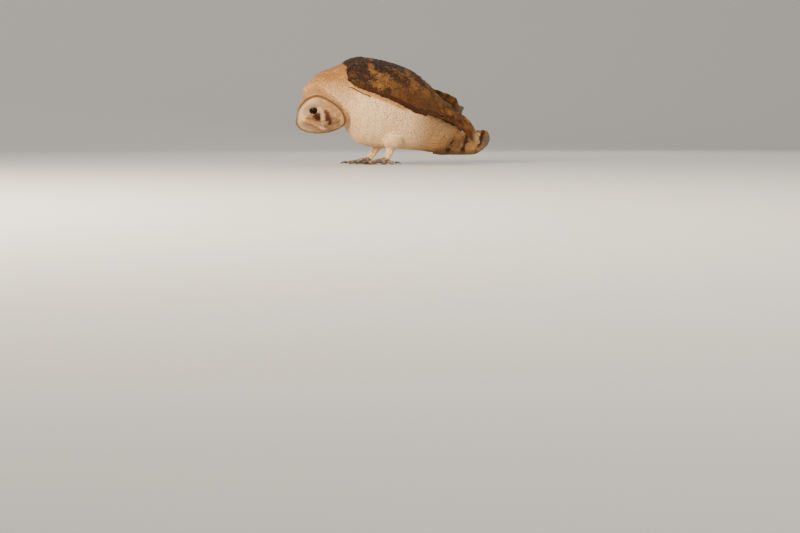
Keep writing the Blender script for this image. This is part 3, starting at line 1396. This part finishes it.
# %% [markdown]
# ## Eyes and lids
# A barn owl's eyes are small and almost black, with a wet, domed front. Each is
# a ball with its front pushed out a little and a clear coat over a dark brown
# iris. A lid rim, a small profile spun round the eye and squeezed to an almond,
# closes the gap between the ball and the feathers.

# %% Eyeballs
EYE_LOOK_ASIDE, CORNEA_RISE, CORNEA_REACH = 0.30, 0.7 * MM, 0.72

eye_finish, eye_tree, eye_shader = new_finish(
    "wet_eye", Roughness=0.10, Specular_IOR_Level=0.12, Coat_Weight=0.12, Coat_Roughness=0.02
)
eye_ring = add_node(eye_tree, "Attribute", {"attribute_name": "ring"})
iris_amount = stepped(eye_tree, eye_ring.outputs["Fac"], 0.50, 0.56)
iris_grain = sums(eye_tree, "MULTIPLY", iris_amount, noise(eye_tree, Scale=1400.0, Detail=2.0))
eye_colour = colour_mix(eye_tree, iris_grain, (0.0025, 0.002, 0.002, 1), (0.018, 0.008, 0.004, 1))
eye_tree.links.new(eye_colour, eye_shader.inputs["Base Color"])


def at_eye(node, look):
    """The move from the world's middle to an eye, with Z turned to the way it looks."""
    return Matrix.Translation(middle(node)) @ look.to_track_quat("Z", "Y").to_matrix().to_4x4()


def make_eye(node, look, radius):
    shape = bmesh.new()
    bmesh.ops.create_uvsphere(shape, u_segments=48, v_segments=32, radius=radius)
    for corner in shape.verts:
        dome = max(corner.co.z / radius - CORNEA_REACH, 0) / (1 - CORNEA_REACH)
        corner.co.z += CORNEA_RISE * dome * (2 - dome)
    rings = [math.acos(max(-1, min(1, corner.co.normalized().z))) for corner in shape.verts]
    bmesh.ops.transform(shape, verts=shape.verts, matrix=at_eye(node, look))
    eye = object_from(shape, node + "ball", "eye", node)
    eye.data.attributes.new("ring", "FLOAT", "POINT").data.foreach_set("value", rings)
    eye.data.materials.append(eye_finish)
    print(node, "radius", round(radius * 1000, 2), "mm")


# %% Lid rims
LID_OPENING, LID_THICK = math.radians(49), 0.75 * MM
lid_finish, lid_tree, lid_shader = new_finish("lid_skin", Roughness=0.55)
lid_grain = noise(lid_tree, Scale=1100.0, Detail=3.0)
lid_colour = colour_mix(lid_tree, lid_grain, (0.010, 0.006, 0.005, 1), (0.030, 0.015, 0.010, 1))
lid_tree.links.new(lid_colour, lid_shader.inputs["Base Color"])
bumped(lid_tree, lid_shader, lid_grain, 0.5, 0.0003)


def make_lid(name, node, look, radius):
    """A soft rim round the eye's front: a small round profile spun once about the way the eye looks."""
    shape = bmesh.new()
    reach = radius + LID_THICK * 0.35
    profile = bmesh.ops.create_circle(shape, segments=10, radius=LID_THICK)["verts"]
    centre = Vector((reach * math.sin(LID_OPENING), 0, reach * math.cos(LID_OPENING)))
    bmesh.ops.rotate(shape, verts=profile, cent=(0, 0, 0), matrix=Matrix.Rotation(math.pi / 2, 3, "X"))
    bmesh.ops.scale(shape, verts=profile, vec=(1.25, 1, 0.8))
    bmesh.ops.translate(shape, verts=profile, vec=centre)
    bmesh.ops.spin(
        shape, geom=shape.verts[:] + shape.edges[:], cent=(0, 0, 0), axis=(0, 0, 1),
        angle=2 * math.pi, steps=48, use_merge=True,
    )
    bmesh.ops.remove_doubles(shape, verts=shape.verts, dist=SAME_POINT)
    bmesh.ops.scale(shape, verts=shape.verts, vec=(1.0, 0.93, 1.0))
    shape.normal_update()
    bmesh.ops.recalc_face_normals(shape, faces=shape.faces)
    bmesh.ops.transform(shape, verts=shape.verts, matrix=at_eye(node, look))
    object_from(shape, name, "eye").data.materials.append(lid_finish)


for flank, sign in (("left", 1), ("right", -1)):
    eye_low, eye_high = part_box("eye_" + flank)
    eye_look = (face_out + face_side * sign * EYE_LOOK_ASIDE).normalized()
    eye_radius = (eye_high - eye_low).x / 2
    make_eye("eye_" + flank, eye_look, eye_radius)
    make_lid("lid_" + flank, "eye_" + flank, eye_look, eye_radius)

# %% [markdown]
# ## Horn and toe skin
# The bill, claws and toes keep the shape of their solids. Each is copied, its
# doubled corners are merged, and a subdivision surface rounds off the facets.
# The bill is pinkish ivory, the claws are dark horn, and the toes have rows of
# small scutes with a few bristles.

# %% Rounded copies of solids


def rounded(name, nodes, slot, finish, levels=2):
    copy = object_from(bmesh_of(*nodes), name, slot, *nodes)
    smooth = copy.modifiers.new("rounded", "SUBSURF")
    smooth.levels = smooth.render_levels = levels
    settled(copy)
    copy.data.materials.clear()
    copy.data.materials.append(finish)
    print(f"{name}: {len(copy.data.polygons)} faces")
    return copy


def grained(name, dark, light, scale, bump, stretch=(1, 1, 1), **settings):
    """A finish that wanders between two colours with the grain of the surface."""
    finish, tree, shader = new_finish(name, **settings)
    place = add_node(tree, "Mapping", Vector=add_node(tree, "TexCoord").outputs["Object"], Scale=stretch)
    grain, mottle = (
        add_node(tree, "TexNoise", Scale=size, Detail=detail, Vector=place.outputs[0]).outputs["Fac"]
        for size, detail in ((scale, 4.0), (scale * 0.25, 2.0))
    )
    both = sums(tree, "MULTIPLY_ADD", grain, 0.4, sums(tree, "MULTIPLY", mottle, 0.6))
    colour = colour_mix(tree, stepped(tree, both, 0.38, 0.62), (*dark, 1), (*light, 1))
    tree.links.new(colour, shader.inputs["Base Color"])
    bumped(tree, shader, grain, bump, 0.0003)
    return finish, tree, shader, colour


bill_finish = grained("bill_horn", (0.20, 0.078, 0.050), (0.40, 0.20, 0.145), 500.0, 0.25, (1, 1, 2.2),
                      Roughness=0.48, Specular_IOR_Level=0.35)[0]
claw_finish = grained("claw_horn", (0.012, 0.009, 0.008), (0.055, 0.042, 0.036), 420.0, 0.3, (0.4, 1, 1),
                      Roughness=0.30, Specular_IOR_Level=0.5)[0]
rounded("bill", ["bill_upper", "bill_lower"], "bill_horn", bill_finish)
claw_nodes = [node for node in sorted(frame["nodes"]) if node.startswith("claw")]
rounded("claws", claw_nodes, "claw_horn", claw_finish)

# %% Toes with scutes
toe_finish, toe_tree, toe_shader, toe_colour = grained(
    "toe_skin", (0.10, 0.062, 0.048), (0.27, 0.185, 0.145), 700.0, 0.2, Roughness=0.6
)
toe_scutes = add_node(toe_tree, "TexVoronoi", {"feature": "DISTANCE_TO_EDGE"}, Scale=520.0,
                      Vector=add_node(toe_tree, "TexCoord").outputs["Object"])
toe_groove = stepped(toe_tree, toe_scutes.outputs["Distance"], 0.0, 0.12)
toe_colour = colour_mix(toe_tree, toe_groove, (0.055, 0.034, 0.026, 1), toe_colour)
toe_tree.links.new(toe_colour, toe_shader.inputs["Base Color"])
bumped(toe_tree, toe_shader, toe_groove, 0.7, 0.0005)
toes = rounded("toes", ["foot_left", "foot_right"], "toe_skin", toe_finish)

# %% Bristles on the toes
BRISTLE = vane_pattern(0.3, 0.7)
TOE_BRISTLES = 420
toe_tops = [face for face in toes.data.polygons if face.normal.z > 0.35 and face.center.z > 4 * MM]
picked = np.random.default_rng(401).choice(len(toe_tops), TOE_BRISTLES, replace=False)
toe_roots = np.array([toe_tops[index].center for index in picked])
toe_lie = turned(np.broadcast_to((-1.0, 0, -0.1), toe_roots.shape), 14, 402)
lay_vanes("toe_bristles", BRISTLE, toe_roots, toe_lie, (3.2, 0.5), (0, 0.9),
          lambda points: layered(points, CREAM), (long_map(5), pale_finish, "leg_plumage"), 403,
          thickness=0.15, cup=0, surface=Surface(toes.data))

# %% Bristles beside the bill
BRISTLES_A_SIDE = 340


def towards_the_bill(points):
    return across_the_face(np.sign(face_places(points)[0]) * 0.42, np.full(len(points), -1.0))


def bristle_marking(points):
    side, up, _ = face_places(points) / MM
    return layered(points, PINK_CREAM, (WHITE, soft_step(-up, -2, 8) * 0.5),
                   (RUST * 0.6, soft_step(np.abs(side), 2.5, 4.5) * soft_step(up, -8, 0) * 0.7))


bristle_dice = np.random.default_rng(411)
bristle_side = bristle_dice.uniform(-4.8, 4.8, 2 * BRISTLES_A_SIDE) * MM
bristle_roots = np.array(under_face(bristle_side, bristle_dice.uniform(-13, 18, 2 * BRISTLES_A_SIDE) * MM))
lay_vanes("bill_bristles", BRISTLE, bristle_roots, turned(towards_the_bill(bristle_roots), 8, 412),
          (9.0, 0.9), (1.6, 4.0), bristle_marking, head_look, 413, thickness=0.2)

# %% Dark feathers at the inner corner of each eye
LORE_A_SIDE = 170


def towards_the_eye(points):
    return across_the_face(np.sign(face_places(points)[0]), np.full(len(points), 0.25))


def lore_marking(points):
    up = face_places(points)[1] / MM
    return layered(points, DARK_RUST, (MAUVE, soft_step(up, 2, 5) * 0.6), (PINK_CREAM, soft_step(up, 4, 7)))


lore_dice = np.random.default_rng(421)
lore_side = np.repeat((-1, 1), LORE_A_SIDE) * lore_dice.uniform(3.0, 8.0, 2 * LORE_A_SIDE) * MM
lore_roots = np.array(under_face(lore_side, lore_dice.uniform(-6, 13, 2 * LORE_A_SIDE) * MM))
lay_vanes("lore_feathers", BRISTLE, lore_roots, turned(towards_the_eye(lore_roots), 9, 422), (5.5, 1.1),
          (0.5, 3.8), lore_marking, head_look, 423, thickness=0.15)
